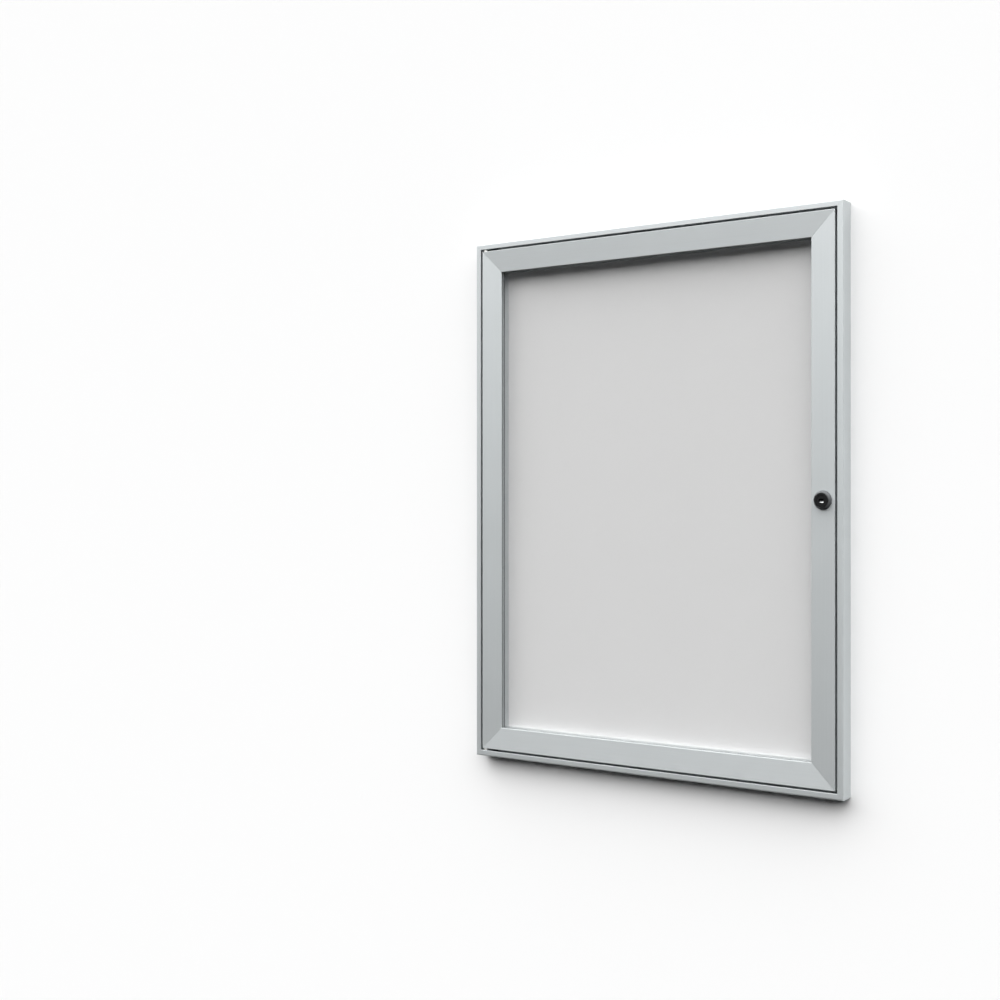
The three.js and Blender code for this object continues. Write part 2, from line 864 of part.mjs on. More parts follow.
// Cam: a round hub with a flat arm that hangs down at rest and turns out behind the keeper rib
function lockCam() {
  const shape = new THREE.Shape();
  const half = camWidth / 2;
  const shoulder = Math.asin(half / camHubRadius);
  const tip = camLength - camTipRadius;
  shape.absarc(0, 0, camHubRadius, -Math.PI / 2 + shoulder, 1.5 * Math.PI - shoulder);
  shape.absarc(-half + camTipRadius, -tip, camTipRadius, Math.PI, 1.5 * Math.PI);
  shape.absarc(half - camTipRadius, -tip, camTipRadius, -Math.PI / 2, 0);
  const opening = camSquare / 2 + camSquareClearance;
  const hole = new THREE.Path();
  hole.moveTo(-opening, -opening);
  hole.lineTo(-opening, opening);
  hole.lineTo(opening, opening);
  hole.lineTo(opening, -opening);
  hole.closePath();
  shape.holes.push(hole);
  const geometry = extrude(shape, camThickness, plainFacets / 2);
  geometry.rotateX(Math.PI / 2);
  geometry.translate(0, camFront, 0);
  return piece('lock_cam', geometry, finish.steel);
}

function camScrew() {
  const headFront = camRear - seatGap;
  const headRear = headFront - camScrewHeadHeight;
  const geometry = turned([
    [0, headRear],
    [camScrewHeadRadius - camScrewHeadHeight / 2, headRear],
    [camScrewHeadRadius, headRear + camScrewHeadHeight / 2],
    [camScrewHeadRadius, headFront],
    [camScrewRadius, headFront],
    [camScrewRadius, camRear + camScrewLength],
    [0, camRear + camScrewLength],
  ], plainFacets);
  return piece('cam_screw', geometry, finish.steel);
}

const noticeBoard = new THREE.Group();
noticeBoard.name = 'lockable_notice_board';
noticeBoard.position.z = -(caseHeight - frameWidth) / 2;
noticeBoard.add(buildCase(), buildDoor(), buildLockPlug());

export default noticeBoard;
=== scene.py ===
"""Lockable notice board: finishes, small hardware, wall, light and camera round the fixed frame.

Metres, in the part's own frame: X right along the wall, Y into the wall, Z up.
"""

import json
import math

import bmesh
import bpy
from mathutils import Matrix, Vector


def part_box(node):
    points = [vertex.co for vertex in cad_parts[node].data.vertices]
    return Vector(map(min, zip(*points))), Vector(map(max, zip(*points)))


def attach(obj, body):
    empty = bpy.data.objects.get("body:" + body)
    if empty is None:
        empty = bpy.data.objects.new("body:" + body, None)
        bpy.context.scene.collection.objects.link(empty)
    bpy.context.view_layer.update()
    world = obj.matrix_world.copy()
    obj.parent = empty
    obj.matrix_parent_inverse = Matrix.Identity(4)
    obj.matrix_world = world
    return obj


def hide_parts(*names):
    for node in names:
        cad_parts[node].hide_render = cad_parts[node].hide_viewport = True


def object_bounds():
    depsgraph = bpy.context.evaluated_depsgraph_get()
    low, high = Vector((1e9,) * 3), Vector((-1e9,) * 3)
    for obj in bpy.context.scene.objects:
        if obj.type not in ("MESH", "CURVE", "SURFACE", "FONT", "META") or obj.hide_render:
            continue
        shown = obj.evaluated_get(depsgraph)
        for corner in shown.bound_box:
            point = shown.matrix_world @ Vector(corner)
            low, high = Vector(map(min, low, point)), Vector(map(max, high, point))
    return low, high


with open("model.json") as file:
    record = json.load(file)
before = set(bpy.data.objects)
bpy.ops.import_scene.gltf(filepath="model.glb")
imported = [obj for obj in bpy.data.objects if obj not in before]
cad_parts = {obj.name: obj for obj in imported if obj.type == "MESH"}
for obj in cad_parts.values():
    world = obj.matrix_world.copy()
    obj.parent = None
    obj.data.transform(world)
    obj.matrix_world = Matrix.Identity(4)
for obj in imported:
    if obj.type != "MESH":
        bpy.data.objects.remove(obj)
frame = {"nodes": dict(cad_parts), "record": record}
cad_low, cad_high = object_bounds()

# Case members: one extruded aluminium profile, sawn at 45 degrees and keyed together.
# It is etched and silver anodised, which gives an even satin with a cool tint. Fine die lines
# run along each bar, and the upstand's sides round the panel are smoother than the rest.
MM = 0.001
DIE_LINE_SPACING = 0.7 * MM
DIE_LINE_LENGTH = 160 * MM
ETCH_CLOUD = 60 * MM
ETCHED_SATIN = (0.63, 0.69)
SMOOTH_SATIN = (0.32, 0.38)
UPSTAND_INSET = 38.3 * MM
WELD_REACH = 0.002 * MM
FLAT_TURN = math.radians(0.5)
ROUNDED_TURN = math.radians(35)


def linear(hex_colour):
    """An sRGB hex colour as linear red, green, blue and alpha."""
    parts = [int(hex_colour[i : i + 2], 16) / 255 for i in (1, 3, 5)]
    light = [c / 12.92 if c <= 0.04045 else ((c + 0.055) / 1.055) ** 2.4 for c in parts]
    return (*light, 1.0)


def add_node(tree, kind, settings=(), links=()):
    """Adds a node. A setting names a property or an input, and a link feeds an input."""
    node = tree.nodes.new(kind)
    for name, value in dict(settings).items():
        if isinstance(name, str) and hasattr(node, name):
            setattr(node, name, value)
        else:
            node.inputs[name].default_value = value
    for name, source in dict(links).items():
        tree.links.new(source, node.inputs[name])
    return node


def empty_material(name):
    """A new material and its node tree, with nothing in it yet."""
    material = bpy.data.materials.new(name)
    material.use_nodes = True
    material.node_tree.nodes.clear()
    return material, material.node_tree


def anodised_extrusion(name, along, roughness):
    """Silver anodised aluminium, with die lines along one axis and a range of roughness."""
    material, tree = empty_material(name)
    place = add_node(tree, "ShaderNodeTexCoord").outputs["Object"]
    stretch = [DIE_LINE_SPACING / DIE_LINE_LENGTH if axis == along else 1.0 for axis in "XYZ"]
    along_bar = add_node(tree, "ShaderNodeMapping", {"Scale": stretch}, {"Vector": place})
    lines = add_node(
        tree,
        "ShaderNodeTexNoise",
        {"Scale": 1 / DIE_LINE_SPACING, "Detail": 3.0, "Roughness": 0.6},
        {"Vector": along_bar.outputs[0]},
    )
    cloud = add_node(
        tree, "ShaderNodeTexNoise", {"Scale": 1 / ETCH_CLOUD, "Detail": 2.0}, {"Vector": place}
    )
    tone = add_node(
        tree,
        "ShaderNodeMix",
        {"data_type": "RGBA", 6: linear("#cdd1d2"), 7: linear("#d1d5d6")},
        {0: cloud.outputs[0]},
    )
    satin = add_node(
        tree,
        "ShaderNodeMapRange",
        {"From Min": 0.3, "From Max": 0.7, "To Min": roughness[0], "To Max": roughness[1]},
        {"Value": lines.outputs[0]},
    )
    relief = add_node(
        tree,
        "ShaderNodeBump",
        {"Strength": 0.3, "Distance": 0.01 * MM},
        {"Height": lines.outputs[0]},
    )
    metal = add_node(
        tree,
        "ShaderNodeBsdfPrincipled",
        {"Metallic": 1.0},
        {
            "Base Color": tone.outputs[2],
            "Roughness": satin.outputs[0],
            "Normal": relief.outputs[0],
        },
    )
    add_node(tree, "ShaderNodeOutputMaterial", {}, {"Surface": metal.outputs[0]})
    return material


bodies = frame["record"]["behaviour"]["bodies"]


def take_place(piece, node):
    """Puts a finished piece in a CAD node's place, on the node's body, and hides the node."""
    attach(piece, next(body for body, members in bodies.items() if node in members))
    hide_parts(node)


def welded(node):
    """A CAD node's shape, with its loose triangles joined into whole faces."""
    shape = bmesh.new()
    shape.from_mesh(frame["nodes"][node].data)
    bmesh.ops.remove_doubles(shape, verts=shape.verts, dist=WELD_REACH)
    bmesh.ops.dissolve_limit(shape, angle_limit=FLAT_TURN, verts=shape.verts, edges=shape.edges)
    return shape


def as_piece(name, shape, *materials):
    """Makes a piece from a shape. Its curves are shaded smooth and its flats stay flat."""
    data = bpy.data.meshes.new(name)
    for face in shape.faces:
        face.smooth = True
    for edge in shape.edges:
        edge.smooth = edge.is_manifold and edge.calc_face_angle() < ROUNDED_TURN
    shape.to_mesh(data)
    shape.free()
    for material in materials:
        data.materials.append(material)
    piece = bpy.data.objects.new(name, data)
    bpy.context.scene.collection.objects.link(piece)
    piece.modifiers.new("flats_stay_flat", "WEIGHTED_NORMAL").keep_sharp = True
    return piece


BAR_AXIS = {"top": "X", "bottom": "X", "hinge": "Z", "lock": "Z"}
MEMBER = {"top": "top_rail", "bottom": "bottom_rail", "hinge": "hinge_stile", "lock": "lock_stile"}
anodised = {
    "X": anodised_extrusion("anodised_extrusion_along_x", "X", ETCHED_SATIN),
    "Z": anodised_extrusion("anodised_extrusion_along_z", "Z", ETCHED_SATIN),
}
smooth_anodised = {
    "X": anodised_extrusion("smooth_extrusion_along_x", "X", SMOOTH_SATIN),
    "Z": anodised_extrusion("smooth_extrusion_along_z", "Z", SMOOTH_SATIN),
}

for side, axis in BAR_AXIS.items():
    node = f"case_{MEMBER[side]}"
    profile = welded(node)
    for face in profile.faces:
        middle = face.calc_center_median()
        from_side = min(middle.x - cad_low.x, cad_high.x - middle.x)
        from_end = min(middle.z - cad_low.z, cad_high.z - middle.z)
        face.material_index = 1 if min(from_side, from_end) > UPSTAND_INSET else 0
    bar = as_piece(f"{node}_profile", profile, anodised[axis], smooth_anodised[axis])
    take_place(bar, node)

# Case corner keys: flat L castings of zinc, pushed into the key chambers of two members.
# They are left as cast, with a dull grey skin, a fine grain and soft edges.
GRAIN = 0.35 * MM
BLOTCH = 9 * MM
CASTING_EDGE = 0.3 * MM
EDGE_STEPS = 2
SHARP_TURN = math.radians(40)

cast_zinc, tree = empty_material("die_cast_zinc")
place = add_node(tree, "ShaderNodeTexCoord").outputs["Object"]
grain = add_node(
    tree, "ShaderNodeTexNoise", {"Scale": 1 / GRAIN, "Detail": 2.0}, {"Vector": place}
)
blotch = add_node(
    tree, "ShaderNodeTexNoise", {"Scale": 1 / BLOTCH, "Detail": 3.0}, {"Vector": place}
)
tone = add_node(
    tree,
    "ShaderNodeMix",
    {"data_type": "RGBA", 6: linear("#8b8f92"), 7: linear("#a9adaf")},
    {0: blotch.outputs[0]},
)
relief = add_node(
    tree, "ShaderNodeBump", {"Strength": 0.4, "Distance": 0.03 * MM}, {"Height": grain.outputs[0]}
)
metal = add_node(
    tree,
    "ShaderNodeBsdfPrincipled",
    {"Metallic": 1.0, "Roughness": 0.5},
    {"Base Color": tone.outputs[2], "Normal": relief.outputs[0]},
)
add_node(tree, "ShaderNodeOutputMaterial", {}, {"Surface": metal.outputs[0]})


def softened(node, name, finish, width, shape, *materials):
    """A piece in a CAD node's place, with its sharp edges rounded to a width."""
    piece = as_piece(name, shape, *materials)
    for edge in piece.data.edges:
        edge.use_edge_sharp = False
    bevel = piece.modifiers.new("rounded_edges", "BEVEL")
    bevel.width = width
    bevel.segments = EDGE_STEPS
    bevel.limit_method = "ANGLE"
    bevel.angle_limit = SHARP_TURN
    piece.modifiers.move(1, 0)
    take_place(piece, node)


CORNERS = [f"{level}_{side}" for level in ("top", "bottom") for side in ("hinge", "lock")]

for corner in CORNERS:
    node = f"case_corner_key_{corner}"
    softened(node, f"{node}_casting", "cast_zinc", CASTING_EDGE, welded(node), cast_zinc)

# Back panel: steel sheet with a white coil lacquer, slid into the profile's groove.
# The lacquer is smooth and half matt, with a faint orange peel.
PEEL = 2.5 * MM
DRIFT = 120 * MM

lacquer, tree = empty_material("white_coil_lacquer")
place = add_node(tree, "ShaderNodeTexCoord").outputs["Object"]
peel = add_node(tree, "ShaderNodeTexNoise", {"Scale": 1 / PEEL, "Detail": 1.0}, {"Vector": place})
drift = add_node(tree, "ShaderNodeTexNoise", {"Scale": 1 / DRIFT}, {"Vector": place})
tone = add_node(
    tree,
    "ShaderNodeMix",
    {"data_type": "RGBA", 6: linear("#dfdfdf"), 7: linear("#e1e1e1")},
    {0: drift.outputs[0]},
)
relief = add_node(
    tree, "ShaderNodeBump", {"Strength": 0.08, "Distance": 0.02 * MM}, {"Height": peel.outputs[0]}
)
coat = add_node(
    tree,
    "ShaderNodeBsdfPrincipled",
    {"Roughness": 0.45, "IOR": 1.5},
    {"Base Color": tone.outputs[2], "Normal": relief.outputs[0]},
)
add_node(tree, "ShaderNodeOutputMaterial", {}, {"Surface": coat.outputs[0]})


def dress(node, material):
    """Gives a CAD node that keeps its own shape a better material."""
    for slot in frame["nodes"][node].material_slots:
        slot.material = material


dress("back_panel", lacquer)

# Pivot blocks, pins and set screws: a zinc block behind the lip holds a hard steel pin, and a
# set screw jacks the block tight. Pins and screws are zinc plated, bright with a faint haze.
BLOCK_EDGE = 0.15 * MM
SCREW_EDGE = 0.1 * MM
PIN_CHAMFER = 0.25 * MM
FINE_ROUND = 48
SEAM_REACH = 0.001 * MM
PLATING_HAZE = 1.5 * MM

plated_steel, tree = empty_material("zinc_plated_steel")
place = add_node(tree, "ShaderNodeTexCoord").outputs["Object"]
haze = add_node(
    tree, "ShaderNodeTexNoise", {"Scale": 1 / PLATING_HAZE, "Detail": 3.0}, {"Vector": place}
)
tone = add_node(
    tree,
    "ShaderNodeMix",
    {"data_type": "RGBA", 6: linear("#c9cdcf"), 7: linear("#d4d6d5")},
    {0: haze.outputs[0]},
)
satin = add_node(
    tree,
    "ShaderNodeMapRange",
    {"From Min": 0.3, "From Max": 0.7, "To Min": 0.22, "To Max": 0.34},
    {"Value": haze.outputs[0]},
)
metal = add_node(
    tree,
    "ShaderNodeBsdfPrincipled",
    {"Metallic": 1.0},
    {"Base Color": tone.outputs[2], "Roughness": satin.outputs[0]},
)
add_node(tree, "ShaderNodeOutputMaterial", {}, {"Surface": metal.outputs[0]})


def turned(points, place):
    """Spins a line of radius and height round an axis, which place puts in the part."""
    shape = bmesh.new()
    verts = [shape.verts.new((radius, 0, height)) for radius, height in points]
    edges = [shape.edges.new(pair) for pair in zip(verts, verts[1:])]
    bmesh.ops.spin(
        shape,
        geom=verts + edges,
        cent=(0, 0, 0),
        axis=(0, 0, 1),
        angle=math.tau,
        steps=FINE_ROUND,
        use_merge=True,
    )
    bmesh.ops.remove_doubles(shape, verts=shape.verts, dist=SEAM_REACH)
    bmesh.ops.recalc_face_normals(shape, faces=shape.faces)
    bmesh.ops.transform(shape, matrix=place, verts=shape.verts)
    return shape


def upright(node, inward):
    """Where an upright round node starts at its outer end, its length and its radius."""
    low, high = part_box(node)
    middle = (low + high) / 2
    if inward > 0:
        place = Matrix.Translation((middle.x, middle.y, low.z))
    else:
        turn = Matrix.Rotation(math.pi, 4, "X")
        place = Matrix.Translation((middle.x, middle.y, high.z)) @ turn
    return place, high.z - low.z, (high.x - low.x) / 2


for level, inward in (("upper", -1), ("lower", 1)):
    node = f"{level}_pivot_block"
    softened(node, f"{node}_casting", "cast_zinc", BLOCK_EDGE, welded(node), cast_zinc)

    node = f"{level}_pivot_pin"
    place, length, radius = upright(node, inward)
    line = [
        (0, 0),
        (radius - PIN_CHAMFER, 0),
        (radius, PIN_CHAMFER),
        (radius, length - PIN_CHAMFER),
        (radius - PIN_CHAMFER, length),
        (0, length),
    ]
    take_place(as_piece(f"{node}_turned", turned(line, place), plated_steel), node)

    node = f"{level}_pivot_block_screw"
    softened(node, f"{node}_socket", "bright_steel", SCREW_EDGE, welded(node), plated_steel)

# Door members: a hollow profile with a sloping face and a nose over the pane. It is cut and
# finished like the case.
for side, axis in BAR_AXIS.items():
    node = f"door_{MEMBER[side]}"
    bar = as_piece(f"{node}_profile", welded(node), anodised[axis])
    take_place(bar, node)

# Door corner keys: thick castings of zinc that are pressed into the hollow of two members and
# fill it. They are left as cast, like the case's.
DOOR_KEY_EDGE = 0.15 * MM

for corner in CORNERS:
    node = f"door_corner_key_{corner}"
    softened(node, f"{node}_casting", "cast_zinc", DOOR_KEY_EDGE, welded(node), cast_zinc)

# Pane: clear cast acrylic, polished, laid in the door behind a thin gasket.
# It mirrors a little and bends light as acrylic does, and daylight falls straight through it.
acrylic, tree = empty_material("clear_cast_acrylic")
path = add_node(tree, "ShaderNodeLightPath")
clear = add_node(
    tree,
    "ShaderNodeBsdfPrincipled",
    {"Base Color": linear("#fefefe"), "Roughness": 0.0, "IOR": 1.49, "Transmission Weight": 1.0},
)
daylight = add_node(tree, "ShaderNodeBsdfTransparent", {"Color": linear("#f6f6f6")})
passing = add_node(
    tree,
    "ShaderNodeMath",
    {"operation": "MAXIMUM"},
    {0: path.outputs["Is Shadow Ray"], 1: path.outputs["Is Diffuse Ray"]},
)
pane = add_node(
    tree,
    "ShaderNodeMixShader",
    {},
    {0: passing.outputs[0], 1: clear.outputs[0], 2: daylight.outputs[0]},
)
add_node(tree, "ShaderNodeOutputMaterial", {}, {"Surface": pane.outputs[0]})

dress("glazing_pane", acrylic)

# Gaskets and seals: extruded black rubber, the gaskets under the nose and the seals pressed
# into the door's back. The skin is dull and finely grained, and the seal has a round bulb.
RUBBER_GRAIN = 0.25 * MM
BULB_ROUND = 0.5 * MM

rubber, tree = empty_material("extruded_black_rubber")
place = add_node(tree, "ShaderNodeTexCoord").outputs["Object"]
grain = add_node(
    tree, "ShaderNodeTexNoise", {"Scale": 1 / RUBBER_GRAIN, "Detail": 1.0}, {"Vector": place}
)
tone = add_node(
    tree,
    "ShaderNodeMix",
    {"data_type": "RGBA", 6: linear("#1b1c1d"), 7: linear("#262728")},
    {0: grain.outputs[0]},
)
relief = add_node(
    tree, "ShaderNodeBump", {"Strength": 0.3, "Distance": 0.02 * MM}, {"Height": grain.outputs[0]}
)
skin = add_node(
    tree,
    "ShaderNodeBsdfPrincipled",
    {"Roughness": 0.7, "IOR": 1.52},
    {"Base Color": tone.outputs[2], "Normal": relief.outputs[0]},
)
add_node(tree, "ShaderNodeOutputMaterial", {}, {"Surface": skin.outputs[0]})

for side in BAR_AXIS:
    dress(f"glazing_gasket_{side}", rubber)
    node = f"door_seal_{side}"
    softened(node, f"{node}_bulb", "black_rubber", BULB_ROUND, welded(node), rubber)

# Glazing beads: small extruded profiles, anodised like the members. They clip over the door's
# ledge and hold the pane from behind.
for side, axis in BAR_AXIS.items():
    node = f"glazing_bead_{side}"
    bar = as_piece(f"{node}_profile", welded(node), anodised[axis])
    take_place(bar, node)

# Pivot bushes: moulded white nylon, pressed into the door rails. A slim collar with a square
# lug shows in the gap between door and case, where it covers the pin. The plastic is waxy.
NYLON_MARKS = 0.3 * MM
MOULDING_EDGE = 0.15 * MM

nylon, tree = empty_material("moulded_white_nylon")
place = add_node(tree, "ShaderNodeTexCoord").outputs["Object"]
marks = add_node(tree, "ShaderNodeTexNoise", {"Scale": 1 / NYLON_MARKS}, {"Vector": place})
tone = add_node(
    tree,
    "ShaderNodeMix",
    {"data_type": "RGBA", 6: linear("#e3e2de"), 7: linear("#edece8")},
    {0: marks.outputs[0]},
)
wax = add_node(
    tree,
    "ShaderNodeBsdfPrincipled",
    {"Roughness": 0.45, "IOR": 1.53},
    {"Base Color": tone.outputs[2]},
)
add_node(tree, "ShaderNodeOutputMaterial", {}, {"Surface": wax.outputs[0]})

for level in ("upper", "lower"):
    node = f"{level}_pivot_bush"
    softened(node, f"{node}_moulding", "white_nylon", MOULDING_EDGE, welded(node), nylon)

# Lock body: the die cast case of a cam lock, in the middle of the lock stile.
# Its front is lacquered satin black and its tapered flank is blasted to a dull dark grey.
BEZEL_EDGE = 0.3 * MM
BEZEL_REACH = 8.4 * MM
FLANK_START = 21 * MM
DUST = 0.8 * MM
PITS = 0.25 * MM

black_lacquer, tree = empty_material("black_lacquered_die_casting")
place = add_node(tree, "ShaderNodeTexCoord").outputs["Object"]
dust = add_node(tree, "ShaderNodeTexNoise", {"Scale": 1 / DUST, "Detail": 3.0}, {"Vector": place})
tone = add_node(
    tree,
    "ShaderNodeMix",
    {"data_type": "RGBA", 6: linear("#0c0c0d"), 7: linear("#191a1b")},
    {0: dust.outputs[0]},
)
satin = add_node(
    tree,
    "ShaderNodeMapRange",
    {"From Min": 0.3, "From Max": 0.7, "To Min": 0.3, "To Max": 0.4},
    {"Value": dust.outputs[0]},
)
coat = add_node(
    tree,
    "ShaderNodeBsdfPrincipled",
    {"IOR": 1.5},
    {"Base Color": tone.outputs[2], "Roughness": satin.outputs[0]},
)
add_node(tree, "ShaderNodeOutputMaterial", {}, {"Surface": coat.outputs[0]})

blasted, tree = empty_material("blasted_dark_casting")
place = add_node(tree, "ShaderNodeTexCoord").outputs["Object"]
pits = add_node(tree, "ShaderNodeTexNoise", {"Scale": 1 / PITS, "Detail": 2.0}, {"Vector": place})
tone = add_node(
    tree,
    "ShaderNodeMix",
    {"data_type": "RGBA", 6: linear("#4a4c4e"), 7: linear("#595b5d")},
    {0: pits.outputs[0]},
)
relief = add_node(
    tree, "ShaderNodeBump", {"Strength": 0.3, "Distance": 0.02 * MM}, {"Height": pits.outputs[0]}
)
coat = add_node(
    tree,
    "ShaderNodeBsdfPrincipled",
    {"Roughness": 0.5, "IOR": 1.5},
    {"Base Color": tone.outputs[2], "Normal": relief.outputs[0]},
)
add_node(tree, "ShaderNodeOutputMaterial", {}, {"Surface": coat.outputs[0]})

lock_low, lock_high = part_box("lock_plug")
lock_axis = (lock_low + lock_high) / 2
lock_turn = Matrix.Rotation(math.pi / 2, 4, "X")
lock_place = Matrix.Translation((lock_axis.x, 0, lock_axis.z)) @ lock_turn

casting = welded("lock_body")
for face in casting.faces:
    middle = lock_place.inverted() @ face.calc_center_median()
    flank = math.hypot(middle.x, middle.y) > BEZEL_REACH and middle.z > FLANK_START
    face.material_index = 1 if flank else 0
softened(
    "lock_body",
    "lock_body_casting",
    "black_coated_zinc",
    BEZEL_EDGE,
    casting,
    black_lacquer,
    blasted,
)

# Lock nut: a zinc plated steel hexagon nut with turned chamfers. It is screwed onto the lock's
# shank from behind and clamps the lock in the stile.
HEXAGON_STEP = math.radians(60)
NUT_CHAMFER = math.tan(math.radians(30))
NUT_ROUND = 96
CROWN_INSET = 0.2 * MM
NUT_BORE = 8.1 * MM
NUT_LEAD = 0.4 * MM

nut_low, nut_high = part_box("lock_nut")
nut_rear = -nut_high.y
nut_front = -nut_low.y
half_flat = min(nut_high.x - nut_low.x, nut_high.z - nut_low.z) / 2
corner_turn = 0 if nut_high.x - nut_low.x > nut_high.z - nut_low.z else HEXAGON_STEP / 2
nut = bmesh.new()
rings = []
for kind, height, side in (
    ("bore", nut_rear + NUT_LEAD, 1),
    ("lead", nut_rear, 1),
    ("crown", nut_rear, 1),
    ("hexagon", nut_rear, 1),
    ("hexagon", nut_front, -1),
    ("crown", nut_front, -1),
    ("lead", nut_front, -1),
    ("bore", nut_front - NUT_LEAD, -1),
):
    ring = bmesh.ops.create_circle(nut, segments=NUT_ROUND, radius=1.0)["verts"]
    for vert in ring:
        angle = math.atan2(vert.co.y, vert.co.x)
        off_flat = (angle - corner_turn) % HEXAGON_STEP - HEXAGON_STEP / 2
        corner = half_flat / math.cos(off_flat)
        crown = half_flat - CROWN_INSET
        radius = {
            "bore": NUT_BORE,
            "lead": NUT_BORE + NUT_LEAD,
            "crown": crown,
            "hexagon": corner,
        }[kind]
        drop = (corner - crown) * NUT_CHAMFER if kind == "hexagon" else 0
        vert.co = (radius * math.cos(angle), radius * math.sin(angle), height + side * drop)
    rings.append([edge for edge in nut.edges if all(vert in ring for vert in edge.verts)])
for first, second in zip(rings, rings[1:] + rings[:1]):
    bmesh.ops.bridge_loops(nut, edges=first + second)
bmesh.ops.recalc_face_normals(nut, faces=nut.faces)
bmesh.ops.transform(nut, matrix=lock_place, verts=nut.verts)
take_place(as_piece("lock_nut_hexagon", nut, plated_steel), "lock_nut")

# Lock plug and keyway shutter: the black plug turns in the body, and a sprung bright steel
# flap closes its keyway against dust.
PLUG_EDGE = 0.12 * MM
FLAP_EDGE = 0.08 * MM

plug = welded("lock_plug")
softened("lock_plug", "lock_plug_turned", "black_coated_zinc", PLUG_EDGE, plug, black_lacquer)
flap = welded("keyway_shutter")
softened("keyway_shutter", "keyway_shutter_flap", "bright_steel", FLAP_EDGE, flap, plated_steel)

# Cam and its screw: a stamped steel cam on the plug's square, held by a pan head screw with a
# cross recess. Both are zinc plated.
CAM_EDGE = 0.3 * MM
HEAD_HEIGHT = 1.8 * MM
HEAD_BAND = 0.5 * MM
HEAD_STEPS = 8
SCREW_RADIUS = 1.5 * MM
RECESS_REACH = 2.1 * MM
RECESS_WIDTH = 0.4 * MM
RECESS_DEPTH = 1.2 * MM
RECESS_TAPER = 0.55

cam = welded("lock_cam")
softened("lock_cam", "lock_cam_stamping", "bright_steel", CAM_EDGE, cam, plated_steel)

screw_low, screw_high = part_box("cam_screw")
head_radius = (screw_high.x - screw_low.x) / 2
head_top = -screw_high.y
screw_end = -screw_low.y
line = [(0, head_top)]
for step in range(1, HEAD_STEPS + 1):
    turn = math.pi / 2 * step / HEAD_STEPS
    rise = (HEAD_HEIGHT - HEAD_BAND) * (1 - math.cos(turn))
    line.append((head_radius * math.sin(turn), head_top + rise))
line += [
    (head_radius, head_top + HEAD_HEIGHT),
    (SCREW_RADIUS, head_top + HEAD_HEIGHT),
    (SCREW_RADIUS, screw_end),
    (0, screw_end),
]
screw = turned(line, Matrix.Identity(4))

# The cross is two bars, each a cube with its corners at 1 that is scaled and tapered.
punch = bmesh.new()
for reach, half in ((RECESS_REACH, RECESS_WIDTH), (RECESS_WIDTH, RECESS_REACH)):
    for vert in bmesh.ops.create_cube(punch, size=2.0)["verts"]:
        taper = RECESS_TAPER if vert.co.z > 0 else 1.0
        vert.co.x *= reach * (taper if reach > half else 1.0)
        vert.co.y *= half * (taper if half > reach else 1.0)
        vert.co.z = head_top + (RECESS_DEPTH if vert.co.z > 0 else -RECESS_DEPTH)


def loose_object(name, shape):
    """A plain object of a shape, for a cut that is made at once."""
    data = bpy.data.meshes.new(name)
    shape.to_mesh(data)
    shape.free()
    made = bpy.data.objects.new(name, data)
    bpy.context.scene.collection.objects.link(made)
    return made


blank = loose_object("cam_screw_blank", screw)
cross = loose_object("cross_punch", punch)
recess = blank.modifiers.new("cross_recess", "BOOLEAN")
recess.operation = "DIFFERENCE"
recess.solver = "EXACT"
recess.use_self = True
recess.object = cross
bpy.context.view_layer.update()
punched = bmesh.new()
punched.from_object(blank, bpy.context.evaluated_depsgraph_get())
bpy.data.objects.remove(blank)
bpy.data.objects.remove(cross)
bmesh.ops.transform(punched, matrix=lock_place, verts=punched.verts)
take_place(as_piece("cam_screw_pan_head", punched, plated_steel), "cam_screw")

# Wall: plain matt white paint, right behind the board. It shows only its front and is open
# behind the board except at the fixing holes, so that the board's back can be looked at.
WALL_REACH = 6.0
FIRST_INSET = 1.0
WALL_GAP = 0.05 * MM
COVERED_EDGE = 0.3 * MM
FIXING_FROM_END = 72 * MM
FIXING_INSET = 22 * MM
FIXING_COVER = 3.0 * MM

wall_shape = bmesh.new()
bmesh.ops.create_grid(wall_shape, x_segments=1, y_segments=1, size=WALL_REACH)
bmesh.ops.inset_individual(wall_shape, faces=wall_shape.faces[:], thickness=FIRST_INSET)
middle_face = min(wall_shape.faces, key=lambda face: face.calc_center_median().length)
for vert in middle_face.verts:
    across = cad_low.x + COVERED_EDGE if vert.co.x < 0 else cad_high.x - COVERED_EDGE
    up = cad_low.z + COVERED_EDGE if vert.co.y < 0 else cad_high.z - COVERED_EDGE
    vert.co = (across, up, 0)
bmesh.ops.delete(wall_shape, geom=[middle_face], context="FACES_ONLY")
for across in (cad_low.x + FIXING_FROM_END, cad_high.x - FIXING_FROM_END):
    for up in (cad_low.z + FIXING_INSET, cad_high.z - FIXING_INSET):
        hole = Matrix.Translation((across, up, 0))
        bmesh.ops.create_circle(
            wall_shape, cap_ends=True, segments=FINE_ROUND, radius=FIXING_COVER, matrix=hole
        )
wall_shape.normal_update()
turned_away = [face for face in wall_shape.faces if face.normal.z < 0]
bmesh.ops.reverse_faces(wall_shape, faces=turned_away)
upright_wall = Matrix.Translation((0, WALL_GAP, 0)) @ Matrix.Rotation(math.pi / 2, 4, "X")
bmesh.ops.transform(wall_shape, matrix=upright_wall, verts=wall_shape.verts)
wall_data = bpy.data.meshes.new("wall")
wall_shape.to_mesh(wall_data)
wall_shape.free()
wall = bpy.data.objects.new("wall", wall_data)
bpy.context.scene.collection.objects.link(wall)

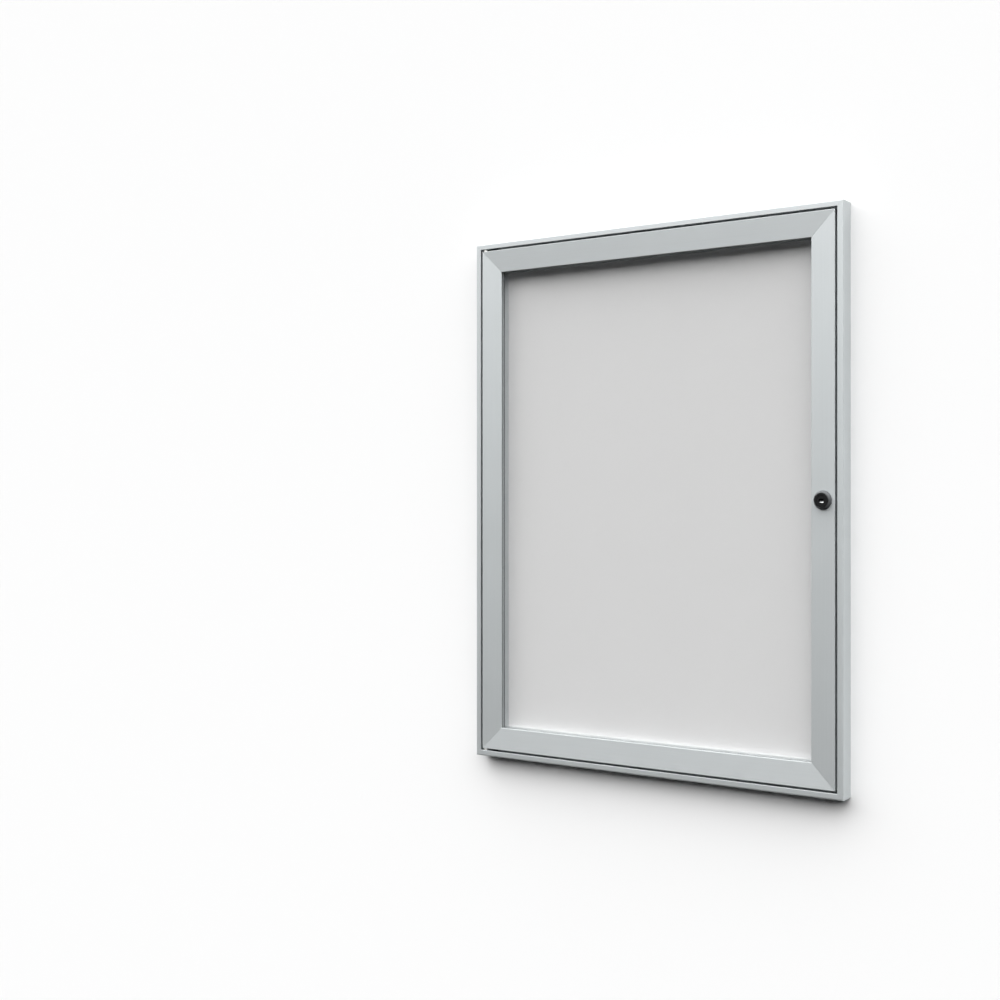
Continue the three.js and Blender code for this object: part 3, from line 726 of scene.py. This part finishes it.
wall_paint, tree = empty_material("matt_white_wall_paint")
side = add_node(tree, "ShaderNodeNewGeometry")
paint = add_node(tree, "ShaderNodeBsdfDiffuse", {"Color": linear("#f2f2f2")})
nothing = add_node(tree, "ShaderNodeBsdfTransparent")
one_sided = add_node(
    tree,
    "ShaderNodeMixShader",
    {},
    {0: side.outputs["Backfacing"], 1: paint.outputs[0], 2: nothing.outputs[0]},
)
add_node(tree, "ShaderNodeOutputMaterial", {}, {"Surface": one_sided.outputs[0]})
wall_data.materials.append(wall_paint)

# Light: a plain soft dome, bright overhead and dark near the ground, as in a hall with a lit
# ceiling. A pale ground stands behind all else, and shows through the pane too.
# Each stop is the sine of the height above the horizon and the light from there.
CEILING = ((0.29, 0.02), (0.345, 3.7), (0.50, 2.88), (0.64, 3.7), (0.80, 4.15), (1.0, 4.6))
ONE_BOUNCE = 1.5

world = bpy.data.worlds.new("soft_dome")
bpy.context.scene.world = world
world.use_nodes = True
tree = world.node_tree
tree.nodes.clear()
direction = add_node(tree, "ShaderNodeTexCoord").outputs["Generated"]
parts = add_node(tree, "ShaderNodeSeparateXYZ", {}, {"Vector": direction})
height = add_node(
    tree, "ShaderNodeMapRange", {"From Min": -1.0, "From Max": 1.0}, {"Value": parts.outputs["Z"]}
)
ramp = add_node(tree, "ShaderNodeValToRGB", {}, {0: height.outputs[0]})
stops = ramp.color_ramp.elements
while len(stops) < len(CEILING):
    stops.new(1.0)
brightest = CEILING[-1][1]
for stop, (sine, light) in zip(stops, CEILING):
    stop.position = (sine + 1) / 2
    stop.color = (light / brightest,) * 3 + (1.0,)
dome_light = add_node(
    tree, "ShaderNodeBackground", {"Strength": brightest}, {"Color": ramp.outputs[0]}
)
pale = add_node(tree, "ShaderNodeBackground", {"Color": linear("#f4f4f4"), "Strength": 1.0})
path = add_node(tree, "ShaderNodeLightPath")
looked_at = add_node(
    tree,
    "ShaderNodeMath",
    {"operation": "MAXIMUM"},
    {0: path.outputs["Is Camera Ray"], 1: path.outputs["Is Transmission Ray"]},
)
unreflected = add_node(
    tree,
    "ShaderNodeMath",
    {"operation": "COMPARE", 2: ONE_BOUNCE},
    {0: path.outputs["Ray Depth"], 1: path.outputs["Transmission Depth"]},
)
straight = add_node(
    tree,
    "ShaderNodeMath",
    {"operation": "MULTIPLY"},
    {0: looked_at.outputs[0], 1: unreflected.outputs[0]},
)
seen = add_node(
    tree,
    "ShaderNodeMixShader",
    {},
    {0: straight.outputs[0], 1: dome_light.outputs[0], 2: pale.outputs[0]},
)
add_node(tree, "ShaderNodeOutputWorld", {}, {"Surface": seen.outputs[0]})
bpy.context.scene.view_settings.view_transform = "Standard"

# Camera: to the right of the board and level with its middle, where a fit to the photograph puts
# it, with a 50 mm lens on a full frame 36 mm wide.
CAMERA_PLACE = (812.0 * MM, -1516.4 * MM, -316.75 * MM)
LEVEL = math.radians(90)
CAMERA_TURN = math.radians(34.47)
LENS = 50
FRAME_WIDTH = 36

camera_data = bpy.data.cameras.new("camera")
camera_data.lens = LENS
camera_data.sensor_width = FRAME_WIDTH
camera = bpy.data.objects.new("camera", camera_data)
camera.location = CAMERA_PLACE
camera.rotation_euler = (LEVEL, 0, CAMERA_TURN)
bpy.context.scene.collection.objects.link(camera)
bpy.context.scene.camera = camera
